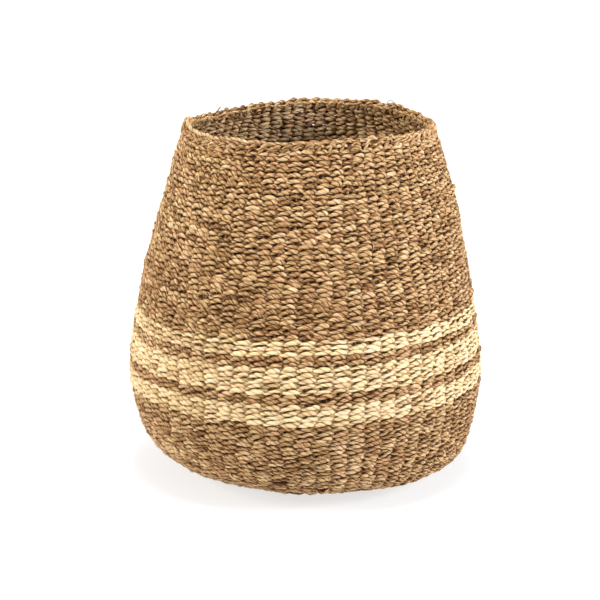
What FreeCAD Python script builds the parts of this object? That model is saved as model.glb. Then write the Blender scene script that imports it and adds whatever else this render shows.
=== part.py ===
import FreeCAD, Part
import math
import os

# Woven market basket: a round, open, belly-shaped basket of twined grass cord.
# Upright stakes start in the floor, bend up through the corner and lean in to the rim.
# The floor is flat in the middle and rises a little towards the corner.
# Pairs of weft cord are twined round the stakes, course on course; three groups of
# courses near the belly are of bleached cord. At the rim two cords clamp the stakes,
# and every stake is turned over sideways to lock the border.
# Millimetres, +Z up, origin on the ground under the middle of the floor.

# ---- body profile, measured on the outer face ----
BELLY_R = 200.0
BELLY_Z = 125.0
BELLY_CURVE = 230.0
FOOT_CURVE = 240.0
FOOT_SLOPE = 18.0
WALL_CURVE = 1350.0
WALL_LEAN_START = 8.5

# ---- weave ----
WEAVE_T = 10.0
COURSE_PITCH = 5.67
COURSE_GROOVE = 1.1
START_KNOT_R = 20.0
STAKE_D = 4.0
STAKES_AT_START = 17
STAKES_IN_WALL = 68
STAKE_TUCK = 6.0
STAKE_FIT = 0.02

# ---- number of courses in each group, from the middle of the floor up to the rim ----
FLAT_COURSES = [
    ("base_weft_inner", 4),
    ("base_weft_middle", 6),
]
CURVED_COURSES = [
    ("base_weft_outer", 7),
    ("corner_weft_lower", 9),
    ("corner_weft_upper", 9),
    ("belly_weft", 7),
    ("pale_band_lower", 4),
    ("stripe_lower", 2),
    ("pale_band_middle", 5),
    ("stripe_upper", 2),
    ("pale_band_upper", 3),
    ("wall_weft_first", 8),
    ("wall_weft_second", 7),
    ("wall_weft_third", 7),
    ("wall_weft_fourth", 7),
    ("wall_weft_fifth", 7),
]

# ---- border ----
RIM_CORD_D = 3.2
RIM_CORD_GAP = 0.05
TURNOVER_SPAN = 8.0

HALF_T = WEAVE_T / 2.0
AXIS_POINT = FreeCAD.Vector(0, 0, 0)
AXIS_DIR = FreeCAD.Vector(0, 0, 1)

# The flat floor meets the foot arc; the corner arc touches the foot arc and the belly arc.
floor_r = START_KNOT_R + COURSE_PITCH * sum(count for name, count in FLAT_COURSES)
foot_end = math.radians(FOOT_SLOPE)
foot_end_r = floor_r + FOOT_CURVE * math.sin(foot_end)
foot_end_z = FOOT_CURVE * (1.0 - math.cos(foot_end))
belly_centre_r = BELLY_R - BELLY_CURVE
across = foot_end_r - belly_centre_r
down = BELLY_Z - foot_end_z
corner_curve = (BELLY_CURVE ** 2 - across ** 2 - down ** 2) / (
    2.0 * (BELLY_CURVE - across * math.sin(foot_end) - down * math.cos(foot_end)))
corner_centre_r = foot_end_r - corner_curve * math.sin(foot_end)
corner_centre_z = foot_end_z + corner_curve * math.cos(foot_end)
corner_end = math.atan2(corner_centre_r - belly_centre_r, BELLY_Z - corner_centre_z)
lean_start = math.radians(90.0 + WALL_LEAN_START)
wall_centre_r = belly_centre_r + (BELLY_CURVE - WALL_CURVE) * math.sin(lean_start)
wall_centre_z = BELLY_Z - (BELLY_CURVE - WALL_CURVE) * math.cos(lean_start)

# Each arc of the middle surface: centre r, centre z, radius, first angle, length.
# Angles are those of the outward normal, counted from straight down.
ARCS = [
    (floor_r, FOOT_CURVE, FOOT_CURVE - HALF_T, 0.0, (FOOT_CURVE - HALF_T) * foot_end),
    (corner_centre_r, corner_centre_z, corner_curve - HALF_T, foot_end,
     (corner_curve - HALF_T) * (corner_end - foot_end)),
    (belly_centre_r, BELLY_Z, BELLY_CURVE - HALF_T, corner_end,
     (BELLY_CURVE - HALF_T) * (lean_start - corner_end)),
    (wall_centre_r, wall_centre_z, WALL_CURVE - HALF_T, lean_start, WALL_CURVE),
]


def on_weave(run, out=0.0):
    """Point at a run along the middle surface from the axis, moved out along its normal."""
    if run <= floor_r:
        return FreeCAD.Vector(run, 0, HALF_T - out)
    rest = run - floor_r
    for centre_r, centre_z, radius, first, length in ARCS:
        if rest <= length:
            angle = first + rest / radius
            reach = radius + out
            return FreeCAD.Vector(centre_r + reach * math.sin(angle), 0,
                                  centre_z - reach * math.cos(angle))
        rest -= length
    raise ValueError("run is past the end of the wall")


def tangent(run):
    """Direction of the middle surface at a run."""
    step = 0.01
    way = on_weave(run + step) - on_weave(run - step)
    way.normalize()
    return way


def bump(run_a, run_b, out_edge, out_top):
    """Rounded face of one course between two grooves."""
    return Part.Arc(on_weave(run_a, out_edge), on_weave((run_a + run_b) / 2.0, out_top),
                    on_weave(run_b, out_edge)).toShape()


def turned(face):
    """Full turn of a section about the basket's axis."""
    return face.revolve(AXIS_POINT, AXIS_DIR, 360)


def weft_ring(first_run, count, flat_below):
    """A group of courses as one ring, ridged on both faces or flat where it meets the ground."""
    runs = [first_run + COURSE_PITCH * i for i in range(count + 1)]
    steps = list(zip(runs[:-1], runs[1:]))
    edge = HALF_T - COURSE_GROOVE
    if flat_below:
        out = HALF_T
        edges = [Part.makeLine(on_weave(runs[0], out), on_weave(runs[-1], out))]
    else:
        out = edge
        edges = [bump(a, b, edge, HALF_T) for a, b in steps]
    edges.append(Part.makeLine(on_weave(runs[-1], out), on_weave(runs[-1], -edge)))
    edges += [bump(b, a, -edge, -HALF_T) for a, b in reversed(steps)]
    edges.append(Part.makeLine(on_weave(runs[0], -edge), on_weave(runs[0], out)))
    return turned(Part.Face(Part.Wire(edges)))


def start_knot():
    """Round button of cord that the first stakes spring from, flat below, with a worn upper edge."""
    sharp = Part.makeCylinder(START_KNOT_R, WEAVE_T - COURSE_GROOVE)
    worn = Part.makeCone(START_KNOT_R, START_KNOT_R - COURSE_GROOVE, COURSE_GROOVE,
                         FreeCAD.Vector(0, 0, WEAVE_T - COURSE_GROOVE))
    return sharp.fuse(worn).removeSplitter()


def path_from(first_run, last_run):
    """Middle line of the weave between two runs."""
    marks = [0.0, floor_r]
    for arc in ARCS:
        marks.append(marks[-1] + arc[4])
    edges = []
    for low, high in zip(marks[:-1], marks[1:]):
        a = max(low, first_run)
        b = min(high, last_run)
        if b <= a:
            continue
        if high <= floor_r:
            edges.append(Part.makeLine(on_weave(a), on_weave(b)))
        else:
            edges.append(Part.Arc(on_weave(a), on_weave((a + b) / 2.0), on_weave(b)).toShape())
    return Part.Wire(edges)


def stake(first_run, last_run, diameter):
    """One stake following the weave."""
    ring = Part.Wire([Part.makeCircle(diameter / 2.0, on_weave(first_run), tangent(first_run))])
    return path_from(first_run, last_run).makePipeShell([ring], True, False)


def spread(shape, places):
    """Copies of a shape turned to the given places of the wall stakes."""
    copies = []
    for place in places:
        one = shape.copy()
        one.rotate(AXIS_POINT, AXIS_DIR, 360.0 * place / STAKES_IN_WALL)
        copies.append(one)
    return copies


def rim_ring(side):
    """Cord laid along the wall top, on the outer (+1) or the inner (-1) side of the stakes."""
    gap = (STAKE_D + RIM_CORD_D) / 2.0 + RIM_CORD_GAP
    seat = on_weave(rim_run + RIM_CORD_D / 2.0, side * gap)
    return Part.makeTorus(seat.x, RIM_CORD_D / 2.0, FreeCAD.Vector(0, 0, seat.z), AXIS_DIR)


def turnover():
    """Stake end bent over sideways in a half loop standing on the wall top."""
    foot = on_weave(rim_run)
    up = tangent(rim_run)
    reach = FreeCAD.Vector(0, TURNOVER_SPAN / 2.0, 0)
    half_turn = math.asin(TURNOVER_SPAN / 2.0 / foot.x)
    centre = FreeCAD.Vector(foot.x * math.cos(half_turn), 0, foot.z)
    top = centre + up * (TURNOVER_SPAN / 2.0)
    path = Part.Wire([Part.Arc(centre - reach, top, centre + reach).toShape()])
    ring = Part.Wire([Part.makeCircle(STAKE_D / 2.0, centre - reach, up)])
    loop = path.makePipeShell([ring], True, False)
    loop.rotate(AXIS_POINT, AXIS_DIR, math.degrees(half_turn))
    return loop


# ---- runs at which the course groups begin and end ----
starts = {}
next_run = START_KNOT_R
for name, count in FLAT_COURSES + CURVED_COURSES:
    starts[name] = next_run
    next_run += COURSE_PITCH * count
rim_run = next_run

# ---- stakes: 17 from the start knot, 17 more and then 34 more set in between ----
per_start = STAKES_IN_WALL // STAKES_AT_START
stake_sets = [
    ("stakes_first", START_KNOT_R - STAKE_TUCK, range(0, STAKES_IN_WALL, per_start)),
    ("stakes_second", starts["base_weft_middle"] - STAKE_TUCK,
     range(per_start // 2, STAKES_IN_WALL, per_start)),
    ("stakes_third", starts["base_weft_outer"] - STAKE_TUCK, range(1, STAKES_IN_WALL, 2)),
]

parts = {}
for name, first_run, places in stake_sets:
    parts[name] = Part.makeCompound(spread(stake(first_run, rim_run, STAKE_D), places))

# ---- weft groups, each with tunnels for the stakes that pass through it ----
bodies = [("base_start_knot", start_knot(), 0.0, START_KNOT_R)]
for name, count in FLAT_COURSES + CURVED_COURSES:
    ring = weft_ring(starts[name], count, (name, count) in FLAT_COURSES)
    bodies.append((name, ring, starts[name], starts[name] + COURSE_PITCH * count))

for name, body, low_run, high_run in bodies:
    tunnels = []
    for stake_name, first_run, places in stake_sets:
        if first_run < high_run:
            low_end = max(first_run - STAKE_FIT, low_run - STAKE_TUCK)
            high_end = high_run + STAKE_TUCK
            tunnels += spread(stake(low_end, high_end, STAKE_D + 2.0 * STAKE_FIT), places)
    parts[name] = body.cut(tunnels)

# ---- border ----
parts["rim_cord_outer"] = rim_ring(1)
parts["rim_cord_inner"] = rim_ring(-1)
parts["stake_turnovers"] = Part.makeCompound(spread(turnover(), range(STAKES_IN_WALL)))

os.makedirs("parts", exist_ok=True)
for name, shape in parts.items():
    shape.exportStep(os.path.join("parts", name + ".step"))
    print(name, len(shape.Solids), round(shape.Volume))
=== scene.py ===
import math

import bpy
import numpy as np
from mathutils import Matrix, Vector


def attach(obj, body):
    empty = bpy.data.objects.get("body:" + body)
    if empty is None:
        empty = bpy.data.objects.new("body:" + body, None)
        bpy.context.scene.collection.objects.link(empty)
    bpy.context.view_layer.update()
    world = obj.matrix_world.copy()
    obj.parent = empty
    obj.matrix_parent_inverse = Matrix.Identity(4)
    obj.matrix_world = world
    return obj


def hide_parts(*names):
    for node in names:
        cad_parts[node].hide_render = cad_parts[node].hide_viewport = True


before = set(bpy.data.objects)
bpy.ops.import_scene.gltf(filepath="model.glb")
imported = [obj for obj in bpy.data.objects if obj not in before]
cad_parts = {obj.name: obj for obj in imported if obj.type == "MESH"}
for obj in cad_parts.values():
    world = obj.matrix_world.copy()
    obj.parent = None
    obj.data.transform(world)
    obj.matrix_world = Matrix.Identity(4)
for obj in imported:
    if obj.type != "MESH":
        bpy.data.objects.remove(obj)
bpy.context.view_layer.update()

# The basket's looks: every course of weft is a real pair of cords twined round the stakes.
# Lengths in this script are millimetres until MM turns them into metres.
MM = 0.001
TURN = 2 * math.pi
rng = np.random.default_rng(20)

# ---- body profile and weave, as in the CAD model ----
BELLY_R = 200.0
BELLY_Z = 125.0
BELLY_CURVE = 230.0
FOOT_CURVE = 240.0
FOOT_SLOPE = math.radians(18)
WALL_CURVE = 1350.0
LEAN_START = math.radians(98.5)
HALF_T = 5.0
PITCH = 5.67
KNOT_R = 20.0
STAKES = 68
FIRST_STAKES = 17
STAKE_TUCK = 6.0

# group, courses, stakes in it, kind of cord
GROUPS = [
    ("base_weft_inner", 4, FIRST_STAKES, "natural"),
    ("base_weft_middle", 6, 2 * FIRST_STAKES, "natural"),
    ("base_weft_outer", 7, STAKES, "natural"),
    ("corner_weft_lower", 9, STAKES, "natural"),
    ("corner_weft_upper", 9, STAKES, "natural"),
    ("belly_weft", 7, STAKES, "natural"),
    ("pale_band_lower", 4, STAKES, "bleached"),
    ("stripe_lower", 2, STAKES, "natural"),
    ("pale_band_middle", 5, STAKES, "bleached"),
    ("stripe_upper", 2, STAKES, "natural"),
    ("pale_band_upper", 3, STAKES, "bleached"),
    ("wall_weft_first", 8, STAKES, "natural"),
    ("wall_weft_second", 7, STAKES, "natural"),
    ("wall_weft_third", 7, STAKES, "natural"),
    ("wall_weft_fourth", 7, STAKES, "natural"),
    ("wall_weft_fifth", 7, STAKES, "natural"),
]

# ---- cord sizes, and how the pairs of cords twine ----
STAKE_R = 1.7
STRAND_OUT = 2.8            # middle of a cord from the middle of the wall, at mid stitch
STRAND_HALF_THICK = 1.85
STITCH_HALF_TALL = 2.62     # at mid stitch, outside
INNER_HALF_TALL = 2.65      # at mid stitch, inside
CROSS_HALF_TALL = 2.05      # where the two cords of a pair cross
ENDS_UNEVEN = 0.17          # share by which one end of a stitch is fatter than the other
LAG = 0.11                  # drift of a course's stitches round the body, in stakes
CROSS_RISE_LOW = 1.45       # climb of a stitch along the wall, below the bands
CROSS_RISE_HIGH = 1.0       # and above them
CROSS_RISE_RUNS = (250, 400)
STITCH_ARCH = 0.85
CORD_LAY = (11.5, 22.0)     # length of one twist of a cord, least and most
CORD_PLY = 0.16             # how far the two plies swell the section
# Painted shade on the edges of each cord that touch the next course.
PAINTED_CREVICE_SHADE = 0.42              # darkening of the edges that touch the next course
CORE_HALF_THICK = 0.35
CORE_SAMPLES = 3            # points from stake to stake
SAMPLES = 8                 # points along a stitch
SIDES = 8                   # points round a cord
FLATTENED = 0.25            # no point is lower: the underside is pressed flat

# ---- hand-made unevenness of the body ----
RIM_SKEW = 7.0              # the rim stands higher on one side of the front and back
RIM_SADDLE = 2.2            # and dips at the sides
BAND_TILT = 4.2
FOOT_SHIFT = 2.5
FOOT_TILT = 0.035
FOOT_LIFT = 0.024
FOOT_HEIGHTS = (5, 95)      # the foot's shift and tilt fade out between these
TOP_SHIFT = 3.0
TOP_HEIGHTS = (200, 400)    # the top's shift fades in between these
EDGE_RUN = 90.0             # length over which the floor's and the rim's evenness fades

# ---- tones, as shares of the colour ramp; some are painted light and shade ----
WEFT_TONE = 0.57
CROSS_SHADE = 0.17
# Painted light on the inside of the wall, strongest at the top of the back.
INSIDE_PAINTED_LIGHT = 0.01
BACK_PAINTED_LIGHT = 0.32           # top of the back, inside
BACK_RUNS = (440, 500)
FRONT_DARKER = 0.08         # middle of the front
FRONT_ANGLE = 4.7
FRONT_RUN = 370.0
BAND_DARKER = 0.12          # left of the bleached bands
BAND_ANGLE = 3.9

# The middle surface is a flat floor and four arcs, each tangent to the next:
# centre radius, centre height, radius, first angle from straight down, length.
floor_r = KNOT_R + PITCH * (GROUPS[0][1] + GROUPS[1][1])
foot_r = floor_r + FOOT_CURVE * math.sin(FOOT_SLOPE)
foot_z = FOOT_CURVE * (1 - math.cos(FOOT_SLOPE))
belly_r = BELLY_R - BELLY_CURVE
across = foot_r - belly_r
down = BELLY_Z - foot_z
corner_curve = (BELLY_CURVE ** 2 - across ** 2 - down ** 2) / (
    2 * (BELLY_CURVE - across * math.sin(FOOT_SLOPE) - down * math.cos(FOOT_SLOPE)))
corner_r = foot_r - corner_curve * math.sin(FOOT_SLOPE)
corner_z = foot_z + corner_curve * math.cos(FOOT_SLOPE)
corner_end = math.atan2(corner_r - belly_r, BELLY_Z - corner_z)
wall_r = belly_r + (BELLY_CURVE - WALL_CURVE) * math.sin(LEAN_START)
wall_z = BELLY_Z - (BELLY_CURVE - WALL_CURVE) * math.cos(LEAN_START)
ARCS = [
    (floor_r, FOOT_CURVE, FOOT_CURVE - HALF_T, 0.0, (FOOT_CURVE - HALF_T) * FOOT_SLOPE),
    (corner_r, corner_z, corner_curve - HALF_T, FOOT_SLOPE,
     (corner_curve - HALF_T) * (corner_end - FOOT_SLOPE)),
    (belly_r, BELLY_Z, BELLY_CURVE - HALF_T, corner_end,
     (BELLY_CURVE - HALF_T) * (LEAN_START - corner_end)),
    (wall_r, wall_z, WALL_CURVE - HALF_T, LEAN_START, WALL_CURVE),
]
rim_run = KNOT_R + PITCH * sum(group[1] for group in GROUPS)


def smooth(x, low, high):
    """0 below low, 1 above high, eased in between."""
    t = np.clip((np.asarray(x, float) - low) / (high - low), 0, 1)
    return t * t * (3 - 2 * t)


def patch(value, centre, width):
    """1 at the centre, falling away smoothly on both sides of it."""
    return np.exp(-((value - centre) / width) ** 2)


def surface(run, out):
    """Radius, height and slope angle of a point at a run along the middle surface."""
    run = np.asarray(run, float)
    tests = [run <= floor_r]
    radii = [run]
    heights = [HALF_T - out]
    angles = [np.zeros_like(run)]
    begin = floor_r
    for centre_r, centre_z, radius, first, length in ARCS:
        angle = first + (run - begin) / radius
        begin += length
        tests.append(run <= begin)
        radii.append(centre_r + (radius + out) * np.sin(angle))
        heights.append(centre_z - (radius + out) * np.cos(angle))
        angles.append(angle)
    return np.select(tests, radii), np.select(tests, heights), np.select(tests, angles)


def ripples(count, orders, lengths, size):
    """A smooth random field over the body: a sum of waves round it and up it."""
    turns = rng.integers(orders[0], orders[1] + 1, count)
    rates = TURN / rng.uniform(lengths[0], lengths[1], count) * rng.choice([-1, 1], count)
    phases = rng.uniform(0, TURN, count)
    share = size * math.sqrt(2.0 / count)

    def field(theta, run):
        total = 0.0
        for turn, rate, phase in zip(turns, rates, phases):
            total = total + np.cos(turn * theta + rate * run + phase)
        return share * total

    return field


SWAY = ripples(10, (3, 12), (50, 260), 0.0085)
COURSE_WAVE = ripples(10, (2, 9), (90, 300), 0.6)
COURSE_JITTER = ripples(24, (8, 34), (14, 60), 0.42)
BODY_WAVE = ripples(6, (2, 5), (180, 500), 0.7)
DENTS = ripples(12, (6, 16), (40, 120), 0.35)


def place(theta, run, out):
    """World points (metres) of weave coordinates, with the hand-made unevenness put in."""
    wall = smooth(run, floor_r, floor_r + EDGE_RUN)
    rim = smooth(run, rim_run - EDGE_RUN, rim_run)
    moved_theta = theta + SWAY(theta, run) * smooth(run, KNOT_R, floor_r)
    moved_run = run + (COURSE_WAVE(theta, run) + COURSE_JITTER(theta, run)) * wall
    moved_run = moved_run + rim * (RIM_SKEW * np.cos(theta) * np.sin(theta) ** 2
                                   - RIM_SADDLE * np.cos(2 * theta))
    moved_run = moved_run + BAND_TILT * np.cos(theta) * smooth(run, 130, 230) * (1 - rim)
    moved_out = out + (BODY_WAVE(theta, run) + DENTS(theta, run)) * wall
    radius, height, angle = surface(moved_run, moved_out)
    low = 1 - smooth(height, *FOOT_HEIGHTS)
    x = radius * np.cos(moved_theta)
    height = height - FOOT_TILT * x * wall * low
    height = height - FOOT_LIFT * radius * np.sin(moved_theta) * wall * low
    x = x + FOOT_SHIFT * low + TOP_SHIFT * smooth(height, *TOP_HEIGHTS)
    points = np.stack([x, radius * np.sin(moved_theta), height], -1)
    normal = np.stack([np.sin(angle) * np.cos(moved_theta), np.sin(angle) * np.sin(moved_theta),
                       -np.cos(angle)], -1)
    return points * MM, normal


FIBRE_LENGTH = 17.0   # length of cord to one unit of the fibre noise


class Cords:
    """Gathers tubes of cord and makes them one mesh piece."""

    def __init__(self):
        self.points = []
        self.quads = []
        self.caps = []
        self.fibre = []
        self.tone = []
        self.total = 0

    def add(self, centre, normal, tall, thick, tone, closed, sides=SIDES, lay=9.0, ply=0.0,
            crevice_painted_shade=0.0):
        """Tubes through centre, oval in section; centre and tone are (tubes, samples, 3).

        tall and thick are half sizes, lay is the length of one twist, and ply is how far the
        two plies swell the section. The last argument darkens the two edges that touch the
        neighbouring cords, as painted shade."""
        tubes, samples = centre.shape[:2]
        if closed:
            ahead = np.roll(centre, -1, 1) - np.roll(centre, 1, 1)
            step = np.linalg.norm(np.roll(centre, -1, 1) - centre, axis=-1)
            step = np.roll(step, 1, 1)
        else:
            ahead = np.gradient(centre, axis=1)
            step = np.linalg.norm(np.diff(centre, axis=1, prepend=centre[:, :1]), axis=-1)
        ahead /= np.linalg.norm(ahead, axis=-1, keepdims=True)
        side = np.cross(normal, ahead)
        side /= np.linalg.norm(side, axis=-1, keepdims=True)
        face = np.cross(ahead, side)
        length = np.cumsum(step, 1) / MM
        if closed:
            whole = length[:, -1:]
            turns = np.round(whole / lay)
            spin = TURN * turns * length / whole
        else:
            spin = TURN * length / lay
        angle = np.arange(sides) * TURN / sides
        around = angle - spin[..., None]
        tall = np.broadcast_to(tall, (tubes, samples))[..., None]
        thick = np.broadcast_to(thick, (tubes, samples))[..., None]
        swell = 1 + ply * np.cos(2 * around)
        ring = (side[:, :, None] * (tall * swell * np.cos(angle))[..., None]
                + face[:, :, None] * (thick * swell * np.sin(angle))[..., None]) * MM
        points = centre[:, :, None] + ring
        points[..., 2] = np.maximum(points[..., 2], FLATTENED * MM)
        seed = rng.uniform(0, 400, (tubes, 1, 1))
        along = np.broadcast_to(length[..., None] / FIBRE_LENGTH + seed, around.shape)
        fibre = np.stack([np.cos(around), np.sin(around), along], -1)
        first = self.total + np.arange(tubes * samples * sides).reshape(tubes, samples, sides)
        last = samples if closed else samples - 1
        a = first[:, :last]
        b = np.roll(first, -1, 1)[:, :last]
        quads = np.stack([a, np.roll(a, -1, 2), np.roll(b, -1, 2), b], -1)
        self.quads.append(quads.reshape(-1, 4))
        if not closed:
            self.caps.append(first[:, 0, ::-1])
            self.caps.append(first[:, -1])
        self.points.append(points.reshape(-1, 3))
        self.fibre.append(fibre.reshape(-1, 3))
        shade = np.repeat(tone[:, :, None], sides, 2)
        # Painted shade on the edges of the section that touch the next course.
        shade[..., 1] -= crevice_painted_shade * np.cos(angle) ** 4
        self.tone.append(shade.reshape(-1, 3))
        self.total += tubes * samples * sides

    def piece(self, name, slot, material, *nodes):
        """The finished mesh object, riding on the body in place of the CAD nodes."""
        points = np.concatenate(self.points)
        quads = np.concatenate(self.quads)
        caps = [c for group in self.caps for c in group.tolist()]
        mesh = bpy.data.meshes.new(name)
        mesh.vertices.add(len(points))
        mesh.vertices.foreach_set("co", points.astype(np.float32).ravel())
        corners = np.concatenate([quads.ravel()] + [np.array(c) for c in caps])
        sizes = np.concatenate([np.full(len(quads), 4), np.array([len(c) for c in caps], int)])
        starts = np.concatenate([[0], np.cumsum(sizes)[:-1]])
        mesh.loops.add(len(corners))
        mesh.loops.foreach_set("vertex_index", corners.astype(np.int32))
        mesh.polygons.add(len(sizes))
        mesh.polygons.foreach_set("loop_start", starts.astype(np.int32))
        mesh.polygons.foreach_set("use_smooth", np.ones(len(sizes), bool))
        for label, values in (("fibre", self.fibre), ("tone", self.tone)):
            layer = mesh.attributes.new(label, "FLOAT_VECTOR", "POINT")
            layer.data.foreach_set("vector", np.concatenate(values).astype(np.float32).ravel())
        mesh.update(calc_edges=True)
        mesh.validate()
        mesh.materials.append(material)
        thing = bpy.data.objects.new(name, mesh)
        bpy.context.scene.collection.objects.link(thing)
        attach(thing, "root")
        if nodes:
            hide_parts(*nodes)
        return thing


# ---- materials ----
def ramp(nodes, stops):
    """Colour ramp node with the given (place, colour) stops."""
    node = nodes.new("ShaderNodeValToRGB")
    elements = node.color_ramp.elements
    while len(elements) < len(stops):
        elements.new(0.5)
    for element, (where, colour) in zip(elements, stops):
        element.position = where
        element.color = (*colour, 1.0)
    return node


def mix_colour(tree, blend, amount, first, second):
    """Mix node of two colours; amount, first and second are sockets or values."""
    node = tree.nodes.new("ShaderNodeMix")
    node.data_type = "RGBA"
    node.blend_type = blend
    for index, value in ((0, amount), (6, first), (7, second)):
        if isinstance(value, bpy.types.NodeSocket):
            tree.links.new(value, node.inputs[index])
        elif index == 0:
            node.inputs[index].default_value = value
        else:
            node.inputs[index].default_value = (*value, 1.0)
    return node.outputs[2]


def maths(tree, kind, first, second=0.0, third=0.0):
    """Math node; arguments are sockets or numbers."""
    node = tree.nodes.new("ShaderNodeMath")
    node.operation = kind
    for index, value in enumerate((first, second, third)):
        if isinstance(value, bpy.types.NodeSocket):
            tree.links.new(value, node.inputs[index])
        else:
            node.inputs[index].default_value = value
    return node.outputs[0]


def noise(tree, vector, scale, detail, roughness=0.55):
    """Noise texture on a vector."""
    node = tree.nodes.new("ShaderNodeTexNoise")
    node.inputs["Scale"].default_value = scale
    node.inputs["Detail"].default_value = detail
    node.inputs["Roughness"].default_value = roughness
    tree.links.new(vector, node.inputs["Vector"])
    return node.outputs["Fac"]


def cord_material(name, stops, hue_a, hue_b, hue_amount, fibre_depth, groove_painted_shade, rough):
    """Dried-grass cord: tone from the cord, fibres along its twist, painted ply-groove shade,
    dull finish.
    """
    material = bpy.data.materials.new(name)
    material.use_nodes = True
    tree = material.node_tree
    tree.nodes.clear()
    links = tree.links
    output = tree.nodes.new("ShaderNodeOutputMaterial")
    shader = tree.nodes.new("ShaderNodeBsdfPrincipled")
    links.new(shader.outputs[0], output.inputs[0])
    fibre = tree.nodes.new("ShaderNodeAttribute")
    fibre.attribute_name = "fibre"
    tone = tree.nodes.new("ShaderNodeAttribute")
    tone.attribute_name = "tone"
    split = tree.nodes.new("ShaderNodeSeparateXYZ")
    links.new(tone.outputs["Vector"], split.inputs[0])

    lay = tree.nodes.new("ShaderNodeSeparateXYZ")
    links.new(fibre.outputs["Vector"], lay.inputs[0])
    ridge = tree.nodes.new("ShaderNodeMapRange")
    ridge.interpolation_type = "SMOOTHSTEP"
    ridge.inputs["From Max"].default_value = 0.55
    links.new(maths(tree, "ABSOLUTE", lay.outputs[0]), ridge.inputs["Value"])
    fine = noise(tree, fibre.outputs["Vector"], 2.9, 3.0, 0.7)
    patch = noise(tree, fibre.outputs["Vector"], 1.3, 2.0)
    value = maths(tree, "MULTIPLY_ADD", maths(tree, "SUBTRACT", fine, 0.5), fibre_depth,
                  split.outputs[0])
    value = maths(tree, "MULTIPLY_ADD", maths(tree, "SUBTRACT", patch, 0.5), fibre_depth * 0.7,
                  value)
    value = maths(tree, "ADD", value, split.outputs[1])
    # Painted shade: darker in the grooves between the two plies.
    value = maths(tree, "MULTIPLY_ADD", maths(tree, "SUBTRACT", ridge.outputs[0], 0.8),
                  groove_painted_shade, value)
    colour = ramp(tree.nodes, stops)
    links.new(value, colour.inputs[0])
    hue = mix_colour(tree, "MIX", split.outputs[2], hue_a, hue_b)
    tinted = mix_colour(tree, "MULTIPLY", hue_amount, colour.outputs[0], hue)
    links.new(tinted, shader.inputs["Base Color"])

    roughness = maths(tree, "MULTIPLY_ADD", fine, 0.22, rough)
    links.new(roughness, shader.inputs["Roughness"])
    shader.inputs["Specular IOR Level"].default_value = 0.22
    shader.inputs["Sheen Weight"].default_value = 0.03
    shader.inputs["Sheen Roughness"].default_value = 0.6
    bump = tree.nodes.new("ShaderNodeBump")
    bump.inputs["Strength"].default_value = 0.9
    bump.inputs["Distance"].default_value = 0.0009
    links.new(maths(tree, "MULTIPLY_ADD", fine, 0.8, ridge.outputs[0]), bump.inputs["Height"])
    links.new(bump.outputs[0], shader.inputs["Normal"])
    return material


NATURAL = cord_material(
    "natural_grass_cord",
    [(0.0, (0.058, 0.017, 0.002)), (0.28, (0.20, 0.090, 0.023)), (0.52, (0.42, 0.24, 0.099)),
     (0.78, (0.60, 0.405, 0.217)), (1.0, (0.75, 0.575, 0.37))],
    (1.0, 0.84, 0.76), (0.98, 1.0, 0.80), 0.5, 2.0, 0.40, 0.55)
BLEACHED = cord_material(
    "bleached_grass_cord",
    [(0.0, (0.26, 0.14, 0.045)), (0.25, (0.57, 0.385, 0.19)), (0.5, (0.79, 0.60, 0.355)),
     (0.8, (0.88, 0.72, 0.47)), (1.0, (0.93, 0.81, 0.59))],
    (1.0, 0.93, 0.90), (1.0, 1.0, 0.84), 0.6, 1.0, 0.30, 0.5)
MATERIALS = {"natural": NATURAL, "bleached": BLEACHED}
SLOTS = {"natural": "natural_weft", "bleached": "bleached_weft"}


def tones(shape, lots, per_stitch, stitch_index, base):
    """Tone of a cord along its length: a slow drift plus a jump at each stitch, and a hue."""
    tubes, samples = shape
    drift = np.zeros(shape)
    hue = np.zeros(shape)
    along = np.arange(samples) / samples
    for _ in range(5):
        rate = rng.integers(1, 14, (tubes, 1))
        drift += np.cos(TURN * (rate * along + rng.uniform(0, 1, (tubes, 1))))
        rate = rng.integers(1, 10, (tubes, 1))
        hue += np.cos(TURN * (rate * along + rng.uniform(0, 1, (tubes, 1))))
    jumps = rng.normal(0, per_stitch, (tubes, int(stitch_index.max()) + 1))
    jump = np.take_along_axis(jumps, np.broadcast_to(stitch_index, shape), 1)
    return np.stack([base + lots * drift / 2.2, jump, np.clip(0.5 + hue * 0.22, 0, 1)], -1)


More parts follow.
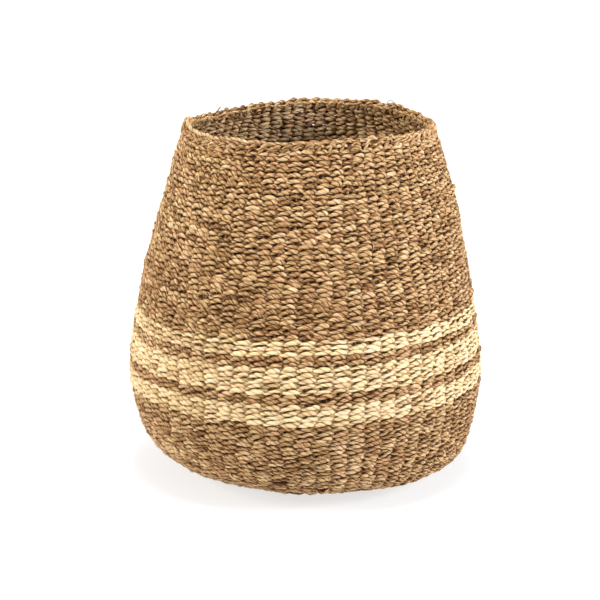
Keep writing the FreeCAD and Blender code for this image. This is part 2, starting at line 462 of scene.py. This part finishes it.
def weave_group(name, first_run, courses, stakes, tone):
    """One group of courses: pairs of cords passing outside and inside the stakes in turn."""
    double = stakes % 2
    loops = 1 if double else 2
    stitches = stakes * (2 if double else 1)
    count = stitches * SAMPLES
    u = np.arange(count) / SAMPLES
    shape = (courses * loops, count)
    course = np.repeat(np.arange(courses), loops)[:, None]
    strand = np.tile(np.arange(loops), courses)[:, None]
    phase = math.pi * (u[None] - strand)
    outside = np.cos(phase)
    weight = np.abs(outside)
    stitch = np.broadcast_to(np.floor(u + 0.5).astype(int) % stitches, shape)

    def per_stitch(size):
        """Random number for each stitch, fading out where the cords cross."""
        table = rng.normal(0, size, (shape[0], stitches))
        return np.take_along_axis(table, stitch, 1) * weight

    scale = min(1.0, TURN * first_run / stakes / 11.0)
    rate = rng.integers(3, 13, (courses, 1))
    lag = LAG * np.cos(TURN * (rate * u[None] / stitches + rng.uniform(0, 1, (courses, 1))))
    theta = TURN * (u[None] + np.repeat(lag, loops, 0) + per_stitch(0.08)) / stakes
    slant = 1 + rng.normal(0, 0.22, (shape[0], 1)) + per_stitch(0.3)
    cross_rise = np.interp(first_run, CROSS_RISE_RUNS, (CROSS_RISE_LOW, CROSS_RISE_HIGH))
    rise = cross_rise * np.sin(phase) * slant + per_stitch(0.5)
    rise = rise + STITCH_ARCH * (np.maximum(outside, 0) ** 2 - 0.4)
    run = first_run + (course + 0.5) * PITCH + rise
    flat = np.tanh(1.4 * outside) / math.tanh(1.4)
    proud = np.maximum(per_stitch(1.0) - 1.4, 0) * 1.3
    out = (STRAND_OUT + per_stitch(0.45) + proud) * flat
    full = np.where(outside > 0, STITCH_HALF_TALL, INNER_HALF_TALL)
    tall = CROSS_HALF_TALL + (full - CROSS_HALF_TALL) * weight ** 0.8
    tall = tall * (1 + ENDS_UNEVEN * np.sin(phase))
    tall = tall * (1 + per_stitch(0.15)) * (1 + rng.normal(0, 0.06, (shape[0], 1)))
    thick = STRAND_HALF_THICK * (1 + per_stitch(0.12)) * (0.75 + 0.25 * scale)
    centre, normal = place(theta, run, out * (0.6 + 0.4 * scale))
    shade = tones(shape, 0.08, 0.09, stitch, WEFT_TONE)
    # Painted shade where the two cords of a pair dive in to cross.
    shade[..., 1] -= CROSS_SHADE * (1 - weight) ** 3
    # Painted light: the inner faces are a little paler, and the top of the back inside is much
    # paler. The middle of the front and the left of the bleached bands are a little darker.
    back = np.maximum(np.sin(theta), 0) ** 5 * smooth(run, *BACK_RUNS)
    shade[..., 0] += (INSIDE_PAINTED_LIGHT + BACK_PAINTED_LIGHT * back) * np.maximum(-outside, 0)
    shade[..., 0] -= FRONT_DARKER * patch(theta, FRONT_ANGLE, 0.5) * patch(run, FRONT_RUN, 60)
    if tone == "bleached":
        shade[..., 0] -= BAND_DARKER * patch(theta, BAND_ANGLE, 0.4)
    cords = Cords()
    lay = rng.uniform(*CORD_LAY, (shape[0], 1))
    cords.add(centre, normal, tall, thick, shade, True, lay=lay, ply=CORD_PLY, crevice_painted_shade=PAINTED_CREVICE_SHADE)

    # The flattened middles of the cords close the wall between the stakes; near-black: painted
    # shade.
    count = stakes * CORE_SAMPLES
    shape = (courses, count)
    theta = TURN * np.arange(count)[None] / count + np.zeros(shape)
    run = first_run + (np.arange(courses)[:, None] + 0.5) * PITCH + 0 * theta
    centre, normal = place(theta, run, 0.0)
    stitch = np.zeros(shape, int)
    cords.add(centre, normal, PITCH / 2, CORE_HALF_THICK, tones(shape, 0.06, 0.0, stitch, 0.08),
              True, sides=4, lay=40.0)
    return cords


def loose_ends(cords, first_run, courses, count, radius, length, lift, inner_only):
    """Cord ends and hairs standing off the faces of a group; length is (least, most)."""
    samples = 6
    t = np.linspace(0, 1, samples)[None]
    side = np.where(rng.uniform(0, 1, (count, 1)) < (1.0 if inner_only else 0.5), -1, 1)
    reach = rng.uniform(length[0], length[1], (count, 1))
    slope = rng.normal(0, 0.6, (count, 1)) + rng.normal(0, 0.5, (count, 1)) * t
    sense = rng.choice([-1, 1], (count, 1))
    course = rng.integers(0, courses, (count, 1)) + rng.uniform(0, 1, (count, 1))
    run = first_run + PITCH * course
    start = rng.uniform(0, TURN, (count, 1))
    theta = start + sense * reach * t * np.cos(slope) / surface(run, 0)[0]
    out = side * (2.6 + lift * reach * t ** 1.4 * rng.uniform(0.4, 1, (count, 1)))
    centre, normal = place(theta, run + reach * t * np.sin(slope), out)
    size = radius * rng.uniform(0.7, 1.2, (count, 1)) * (1 - 0.35 * t)
    stitch = np.zeros(theta.shape, int)
    cords.add(centre, normal, size, size, tones(theta.shape, 0.05, 0.12, stitch, 0.5), False,
              sides=5)


next_run = KNOT_R
starts = {}
for name, courses, stakes, tone in GROUPS:
    starts[name] = next_run
    cords = weave_group(name, next_run, courses, stakes, tone)
    low = next_run < 130
    loose_ends(cords, next_run, courses, 3 * courses, 1.0, (3, 8), 0.35, low)
    loose_ends(cords, next_run, courses, 4 * courses, 0.2, (8, 24), 0.3, low)
    cords.piece(name + "_cords", SLOTS[tone], MATERIALS[tone], name)
    next_run += PITCH * courses


# ---- stakes ----
def stake_set(name, first_run, places):
    """Upright cords that the weft is twined round."""
    samples = int((rim_run - first_run) / 5.0)
    run = np.linspace(first_run, rim_run, samples)[None]
    theta = TURN * np.array(list(places), float)[:, None] / STAKES + 0 * run
    centre, normal = place(theta, run, 0.0)
    shape = theta.shape
    stitch = np.broadcast_to(np.arange(samples) // 4, shape)
    cords = Cords()
    cords.add(centre, normal, STAKE_R, STAKE_R, tones(shape, 0.08, 0.05, stitch, 0.42), False,
              sides=6, lay=10.0)
    return cords.piece(name + "_cords", "stake_cord", NATURAL, name)


per_start = STAKES // FIRST_STAKES
stake_set("stakes_first", KNOT_R - STAKE_TUCK, range(0, STAKES, per_start))
stake_set("stakes_second", starts["base_weft_middle"] - STAKE_TUCK,
          range(per_start // 2, STAKES, per_start))
stake_set("stakes_third", starts["base_weft_outer"] - STAKE_TUCK, range(1, STAKES, 2))


# ---- start knot: a flat coil of cord on each face ----
KNOT_TURNS = 4
KNOT_CORD_R = 2.3
EDGE_SAMPLES = 60


def start_knot():
    """Two coils of cord, one on each face of the floor's middle, and the strand between them."""
    cords = Cords()
    samples = 150
    t = np.linspace(0.02, 1, samples)
    radius = (KNOT_R - 2.2) * t
    theta = TURN * KNOT_TURNS * t
    for side in (-1, 1):
        height = HALF_T - side * 2.9 + 0 * t
        centre = np.stack([radius * np.cos(theta), side * radius * np.sin(theta), height], -1)
        normal = np.zeros((1, samples, 3))
        normal[..., 2] = -side
        stitch = np.arange(samples)[None] // 9
        cords.add(centre[None] * MM, normal, KNOT_CORD_R, 2.0,
                  tones((1, samples), 0.1, 0.07, stitch, 0.5), False, lay=11.0, ply=0.08)

    # A flat strand in the middle of the knot's edge closes the gap to the first course.
    theta = TURN * np.arange(EDGE_SAMPLES) / EDGE_SAMPLES
    middle = np.full(EDGE_SAMPLES, KNOT_R - 1.0)
    centre = np.stack([middle * np.cos(theta), middle * np.sin(theta), 0 * theta + HALF_T], -1)
    normal = np.zeros((1, EDGE_SAMPLES, 3))
    normal[..., 2] = -1
    stitch = np.zeros((1, EDGE_SAMPLES), int)
    cords.add(centre[None] * MM, normal, 3.6, 0.4,
              tones((1, EDGE_SAMPLES), 0.06, 0.0, stitch, 0.2), True, sides=4, lay=40.0)
    return cords.piece("base_start_knot_cords", "natural_weft", NATURAL, "base_start_knot")


start_knot()


# ---- border ----
def over_ends(theta):
    """1 at the front left, where the outer border cord lies on top of the stake ends, else 0."""
    return smooth(theta, 3.0, 3.25) * (1 - smooth(theta, 4.0, 4.7))


def rim_cord(name, side):
    """Cord laid along the wall top; the outer one lifts over the stake ends for a stretch."""
    count = STAKES * SAMPLES
    u = np.arange(count)[None] / SAMPLES
    theta = TURN * u / STAKES
    lift = over_ends(theta) if side > 0 else 0 * theta
    wander = 0.35 * np.cos(math.pi * u + (0 if side > 0 else math.pi))
    run = rim_run + 1.2 + 0.4 * np.sin(math.pi * u) + 4.3 * lift
    out = side * (3.3 + wander) - 2.3 * lift
    centre, normal = place(theta, run, out)
    stitch = np.floor(u + 0.5).astype(int) % STAKES
    tone = tones((1, count), 0.08, 0.05, stitch, 0.55)
    tone[..., 0] += 0.17 * lift
    cords = Cords()
    cords.add(centre, normal, 1.6 + 0.3 * lift, 1.5 + 0.2 * lift, tone, True, lay=16.0, ply=0.1)
    return cords.piece(name + "_cord", "border_cord", NATURAL, name)


rim_cord("rim_cord_outer", 1)
rim_cord("rim_cord_inner", -1)

# One turned-over stake end: steps round the rim, run past the wall top, distance out.
TURNOVER_KNOTS = np.array([
    (-0.25, -9.0, 1.6),
    (-0.10, -5.0, 3.0),
    (0.04, -0.8, 4.0),
    (0.28, 2.5, 3.8),
    (0.60, 3.7, 1.2),
    (0.92, 3.0, -1.8),
    (1.12, 0.2, -3.8),
    (1.20, -4.0, -3.4),
    (1.28, -8.0, -1.6),
])

# Two fibres that have sprung out of the back of the border: angle, lean round the rim, height
# of the far end, radius, and height of the curl between the ends.
SPRUNG_FIBRES = [
    (2.50, -6.0, 9.0, 0.6, 0.0),
    (0.84, -19.0, 3.0, 0.32, 7.5),
]
SPRUNG_SAMPLES = 8
RIM_R = 138.0


def through(knots, samples):
    """Smooth curve (Catmull-Rom) through a row of knots, evenly sampled."""
    place_along = np.linspace(0, len(knots) - 1, samples)
    index = np.minimum(place_along.astype(int), len(knots) - 2)
    t = (place_along - index)[:, None]
    padded = np.concatenate([2 * knots[:1] - knots[1:2], knots, 2 * knots[-1:] - knots[-2:-1]])
    before, here, after, later = (padded[index + i] for i in range(4))
    return here + 0.5 * t * (after - before + t * (2 * before - 5 * here + 4 * after - later
                                                   + t * (3 * (here - after) + later - before)))


def turnovers():
    """Stake ends bent over sideways and tucked down on the inside behind the next stake."""
    samples = 25
    curve = through(TURNOVER_KNOTS, samples)
    index = np.arange(STAKES)[:, None]
    angle = TURN * (index + 0.5) / STAKES
    under = over_ends(angle)
    reach = 1 + rng.normal(0, 0.07, (STAKES, 1))
    raise_by = rng.normal(0, 0.7, (STAKES, 1)) - 2.0 * under - 0.6
    theta = TURN * (index + rng.normal(0, 0.05, (STAKES, 1)) + reach * curve[None, :, 0]) / STAKES
    run = rim_run + curve[None, :, 1] + raise_by * smooth(curve[None, :, 1], -6, 2)
    out = curve[None, :, 2] * (1 + rng.normal(0, 0.06, (STAKES, 1)))
    centre, normal = place(theta, run, out)
    size = 2.05 * (1 + rng.normal(0, 0.08, (STAKES, 1)))
    stitch = np.zeros(theta.shape, int)
    cords = Cords()
    cords.add(centre, normal, size, size, tones(theta.shape, 0.05, 0.11, stitch, 0.46), False,
              lay=14.0, ply=0.12)

    t = np.linspace(0, 1, SPRUNG_SAMPLES)
    for where, lean, height, radius, curl in SPRUNG_FIBRES:
        theta = where + lean * t / RIM_R
        run = rim_run + 2.0 + height * t + curl * np.sin(math.pi * t)
        centre, normal = place(theta[None], run[None], 0.0)
        stitch = np.zeros((1, SPRUNG_SAMPLES), int)
        cords.add(centre, normal, radius, radius,
                  tones((1, SPRUNG_SAMPLES), 0.0, 0.0, stitch, -0.1), False, sides=5)
    return cords.piece("stake_turnovers_cords", "stake_cord", NATURAL, "stake_turnovers")


turnovers()

# ---- floor, light and camera ----
FLOOR_SIZE = 12.0


def stage_floor():
    """Pale floor that glows white, less near the basket: painted shade round its foot."""
    half = FLOOR_SIZE / 2
    mesh = bpy.data.meshes.new("floor")
    corners = [(-half, -half, 0), (half, -half, 0), (half, half, 0), (-half, half, 0)]
    mesh.from_pydata(corners, [], [(0, 1, 2, 3)])
    floor = bpy.data.objects.new("floor", mesh)
    bpy.context.scene.collection.objects.link(floor)
    material = bpy.data.materials.new("floor_white")
    material.use_nodes = True
    shader = material.node_tree.nodes["Principled BSDF"]
    shader.inputs["Base Color"].default_value = (0.3, 0.3, 0.3, 1)
    shader.inputs["Roughness"].default_value = 0.9
    shader.inputs["Specular IOR Level"].default_value = 0.1
    shader.inputs["Emission Color"].default_value = (1, 1, 1, 1)
    tree = material.node_tree
    spot = tree.nodes.new("ShaderNodeNewGeometry")
    distance = tree.nodes.new("ShaderNodeVectorMath")
    distance.operation = "LENGTH"
    tree.links.new(spot.outputs["Position"], distance.inputs[0])
    # It glows less near the middle: painted shade round the basket's foot.
    glow_with_painted_shade = tree.nodes.new("ShaderNodeMapRange")
    glow_with_painted_shade.interpolation_type = "SMOOTHSTEP"
    glow_with_painted_shade.inputs["From Min"].default_value = 0.12
    glow_with_painted_shade.inputs["From Max"].default_value = 0.36
    glow_with_painted_shade.inputs["To Min"].default_value = 0.69
    glow_with_painted_shade.inputs["To Max"].default_value = 1.0
    tree.links.new(distance.outputs["Value"], glow_with_painted_shade.inputs["Value"])
    tree.links.new(glow_with_painted_shade.outputs[0], shader.inputs["Emission Strength"])
    mesh.materials.append(material)


stage_floor()


def area_light(name, where, target, size, power, colour):
    """Soft square light aimed at a point."""
    light = bpy.data.lights.new(name, "AREA")
    light.shape = "SQUARE"
    light.size = size
    light.energy = power
    light.color = colour
    lamp = bpy.data.objects.new(name, light)
    bpy.context.scene.collection.objects.link(lamp)
    lamp.location = where
    aim = Vector(target) - Vector(where)
    lamp.rotation_euler = aim.to_track_quat("-Z", "Y").to_euler()
    return lamp


area_light("key", (2.3, -1.05, 1.30), (0, 0, 0.2), 1.0, 87, (0.90, 0.92, 0.98))
area_light("fill", (-2.4, -0.85, 1.30), (0, 0, 0.2), 1.1, 70, (1.0, 0.97, 0.91))
area_light("top", (0.1, -0.3, 2.5), (0, 0, 0.3), 0.9, 48, (1.0, 0.97, 0.92))

world = bpy.data.worlds.new("studio")
bpy.context.scene.world = world
world.use_nodes = True
backdrop = world.node_tree.nodes["Background"]
backdrop.inputs[0].default_value = (1, 1, 1, 1)
seen = world.node_tree.nodes.new("ShaderNodeLightPath")
world.node_tree.links.new(
    maths(world.node_tree, "MULTIPLY_ADD", seen.outputs["Is Camera Ray"], 0.95, 0.16),
    backdrop.inputs[1])

CAMERA_BACK = 2.412
CAMERA_UP = 0.822
CAMERA_PITCH = math.radians(90 - 14.59)
CAMERA_LENS = 131.9
CAMERA_SHIFT = -0.0102

camera_data = bpy.data.cameras.new("camera")
camera_data.lens = CAMERA_LENS
camera_data.sensor_width = 36.0
camera_data.shift_x = CAMERA_SHIFT
camera = bpy.data.objects.new("camera", camera_data)
bpy.context.scene.collection.objects.link(camera)
camera.matrix_world = (Matrix.Translation((0, -CAMERA_BACK, CAMERA_UP))
                       @ Matrix.Rotation(CAMERA_PITCH, 4, "X"))
bpy.context.scene.camera = camera
bpy.context.scene.view_settings.view_transform = "Standard"
